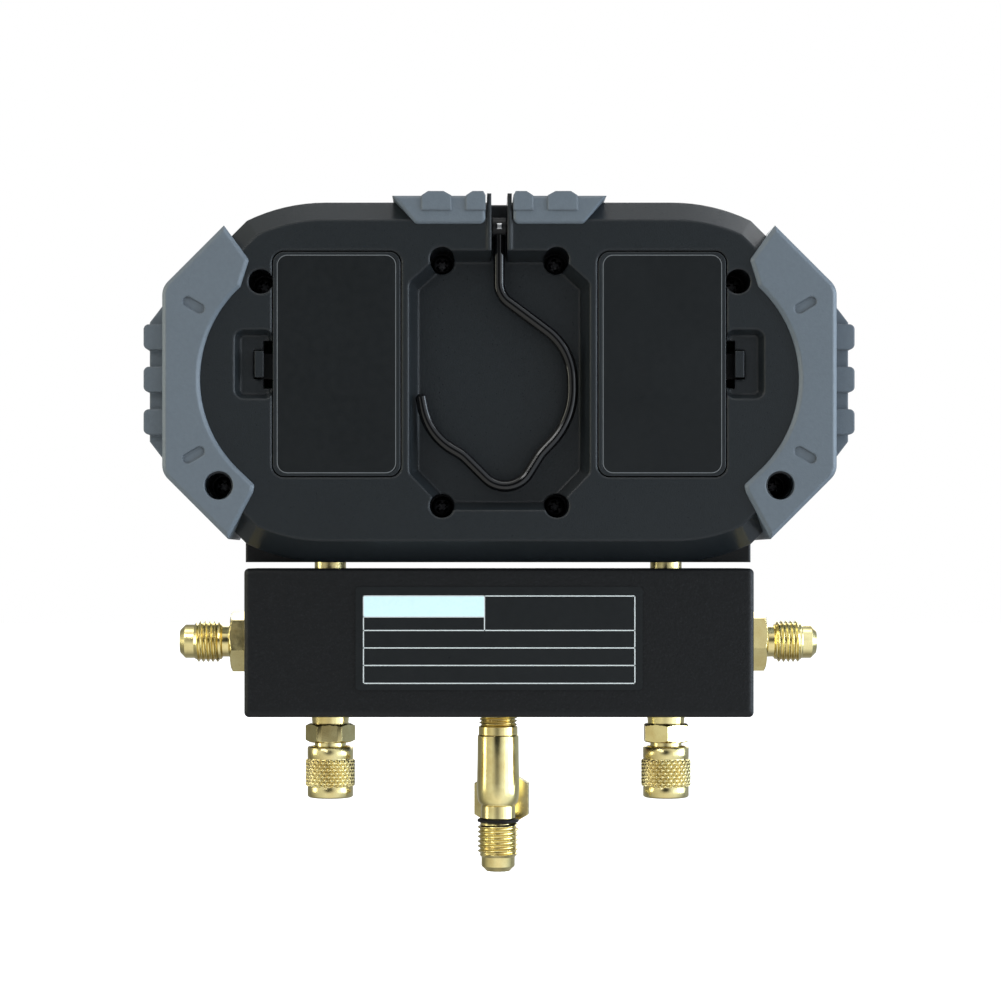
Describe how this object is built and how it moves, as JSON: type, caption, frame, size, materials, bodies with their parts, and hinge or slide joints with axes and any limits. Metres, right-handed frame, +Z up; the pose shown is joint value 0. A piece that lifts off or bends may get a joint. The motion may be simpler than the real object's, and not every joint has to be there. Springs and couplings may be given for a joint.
{
  "type": "refrigerant manifold gauge",
  "caption": "Digital two-gauge refrigerant manifold with hand valves, sight glass, flare hose ports, knurled caps, battery covers, rubber bumpers and a folding hanging hook.",
  "frame": {"origin": "on the service port's axis, at the free end of its thread", "axes": "+Z up, -Y the back with the hook and battery covers, +Y the front with the dials and valve knobs, +X the low-pressure side, on the right as seen from the back"},
  "size_m": [0.1858, 0.0668, 0.1785],
  "materials": {
    "housing_plastic": "fine moulded texture, satin",
    "bumper_rubber": "matt overmoulded rubber",
    "block_coat": "black powder coat over aluminium, fine grain",
    "brass": "turned and polished, light wear",
    "hook_black": "gloss black dipped wire",
    "bright_steel": "bright",
    "screw_steel": "black zinc",
    "cover_plastic": "fine moulded texture, satin",
    "label_film": "printed satin film",
    "lens_clear": "clear polished acrylic",
    "lcd_glass": "grey-green display",
    "board_green": "circuit board lacquer",
    "face_plastic": "printed face film",
    "bezel_plastic": "satin gloss ring",
    "button_rubber": "matt silicone key",
    "switch_plastic": "moulded switch",
    "battery_case": "painted metal jacket",
    "contact_plastic": "moulded snap holder",
    "seal_rubber": "black nitrile",
    "knob_blue": "glass-filled nylon",
    "knob_red": "glass-filled nylon",
    "sight_clear": "polished"
  },
  "bodies": {
    "housing": {"front_shell": "housing_plastic", "rear_shell": "housing_plastic", "housing_screws": "screw_steel", "battery_contacts": "contact_plastic", "button_switches": "switch_plastic", "manifold_block": "block_coat", "label_plate": "label_film", "service_nipple": "brass", "service_tee": "brass", "branch_port": "brass", "service_seal": "seal_rubber", "sight_glass_ring": "brass", "sight_glass": "sight_clear", "low_side_bumper": "bumper_rubber", "low_top_bumper": "bumper_rubber", "low_battery": "battery_case", "low_face_plate": "face_plastic", "low_bezel": "bezel_plastic", "low_lens": "lens_clear", "low_lcd": "lcd_glass", "low_circuit_board": "board_green", "low_gauge_stem": "brass", "low_pressure_sensor": "bright_steel", "low_side_port": "brass", "low_bottom_port": "brass", "low_valve_bonnet": "brass", "high_side_bumper": "bumper_rubber", "high_top_bumper": "bumper_rubber", "high_battery": "battery_case", "high_face_plate": "face_plastic", "high_bezel": "bezel_plastic", "high_lens": "lens_clear", "high_lcd": "lcd_glass", "high_circuit_board": "board_green", "high_gauge_stem": "brass", "high_pressure_sensor": "bright_steel", "high_side_port": "brass", "high_bottom_port": "brass", "high_valve_bonnet": "brass"},
    "hook": {"hook_wire": "hook_black", "hook_barrel": "hook_black", "hook_pin": "bright_steel"},
    "low_cover": {"low_battery_cover": "cover_plastic"},
    "low_power_key": {"low_power_button": "button_rubber"},
    "low_unit_key": {"low_unit_button": "button_rubber"},
    "low_zero_key": {"low_zero_button": "button_rubber"},
    "low_handwheel": {"low_valve_knob": "knob_blue", "low_valve_spindle": "brass"},
    "low_valve_plug": {"low_valve_piston": "brass"},
    "low_cap_disc": {"low_cap_seal": "seal_rubber"},
    "low_cap": {"low_port_cap": "brass"},
    "high_cover": {"high_battery_cover": "cover_plastic"},
    "high_power_key": {"high_power_button": "button_rubber"},
    "high_unit_key": {"high_unit_button": "button_rubber"},
    "high_zero_key": {"high_zero_button": "button_rubber"},
    "high_handwheel": {"high_valve_knob": "knob_red", "high_valve_spindle": "brass"},
    "high_valve_plug": {"high_valve_piston": "brass"},
    "high_cap_disc": {"high_cap_seal": "seal_rubber"},
    "high_cap": {"high_port_cap": "brass"}
  },
  "joints": [
    {"name": "hook_fold", "type": "hinge", "parent": "housing", "child": "hook", "pos_m": [0, -0.018, 0.1659], "axis": [-1, 0, 0], "range_deg": [0, 180]},
    {"name": "low_cover_lift", "type": "slide", "parent": "housing", "child": "low_cover", "axis": [0, -1, 0], "range_m": [0, 0.025]},
    {"name": "low_power_press", "type": "slide", "parent": "housing", "child": "low_power_key", "axis": [0, -1, 0], "range_m": [0, 0.0008], "stiffness_N_per_m": 400, "springref_m": -0.001},
    {"name": "low_unit_press", "type": "slide", "parent": "housing", "child": "low_unit_key", "axis": [0, -1, 0], "range_m": [0, 0.0008], "stiffness_N_per_m": 400, "springref_m": -0.001},
    {"name": "low_zero_press", "type": "slide", "parent": "housing", "child": "low_zero_key", "axis": [0, -1, 0], "range_m": [0, 0.0008], "stiffness_N_per_m": 400, "springref_m": -0.001},
    {"name": "low_knob_turn", "type": "hinge", "parent": "housing", "child": "low_handwheel", "pos_m": [0.0448, 0.035, 0.0575], "axis": [0, 1, 0], "range_deg": [0, 720]},
    {"name": "low_piston_lift", "type": "slide", "parent": "housing", "child": "low_valve_plug", "axis": [0, 1, 0], "range_m": [0, 0.002]},
    {"name": "low_cap_travel", "type": "slide", "parent": "housing", "child": "low_cap_disc", "axis": [0, 0, -1], "range_m": [0, 0.00635]},
    {"name": "low_cap_turn", "type": "hinge", "parent": "low_cap_disc", "child": "low_cap", "pos_m": [0.0448, 0, 0.022], "axis": [0, 0, -1], "range_deg": [0, 1800]},
    {"name": "high_cover_lift", "type": "slide", "parent": "housing", "child": "high_cover", "axis": [0, -1, 0], "range_m": [0, 0.025]},
    {"name": "high_power_press", "type": "slide", "parent": "housing", "child": "high_power_key", "axis": [0, -1, 0], "range_m": [0, 0.0008], "stiffness_N_per_m": 400, "springref_m": -0.001},
    {"name": "high_unit_press", "type": "slide", "parent": "housing", "child": "high_unit_key", "axis": [0, -1, 0], "range_m": [0, 0.0008], "stiffness_N_per_m": 400, "springref_m": -0.001},
    {"name": "high_zero_press", "type": "slide", "parent": "housing", "child": "high_zero_key", "axis": [0, -1, 0], "range_m": [0, 0.0008], "stiffness_N_per_m": 400, "springref_m": -0.001},
    {"name": "high_knob_turn", "type": "hinge", "parent": "housing", "child": "high_handwheel", "pos_m": [-0.0448, 0.035, 0.0575], "axis": [0, 1, 0], "range_deg": [0, 720]},
    {"name": "high_piston_lift", "type": "slide", "parent": "housing", "child": "high_valve_plug", "axis": [0, 1, 0], "range_m": [0, 0.002]},
    {"name": "high_cap_travel", "type": "slide", "parent": "housing", "child": "high_cap_disc", "axis": [0, 0, -1], "range_m": [0, 0.00635]},
    {"name": "high_cap_turn", "type": "hinge", "parent": "high_cap_disc", "child": "high_cap", "pos_m": [-0.0448, 0, 0.022], "axis": [0, 0, -1], "range_deg": [0, 1800]}
  ],
  "couplings": [
    {"joint": "low_knob_turn", "follows": "low_piston_lift", "rad_per_m": 6283.2},
    {"joint": "low_cap_turn", "follows": "low_cap_travel", "rad_per_m": 4947.4},
    {"joint": "high_knob_turn", "follows": "high_piston_lift", "rad_per_m": 6283.2},
    {"joint": "high_cap_turn", "follows": "high_cap_travel", "rad_per_m": 4947.4}
  ]
}
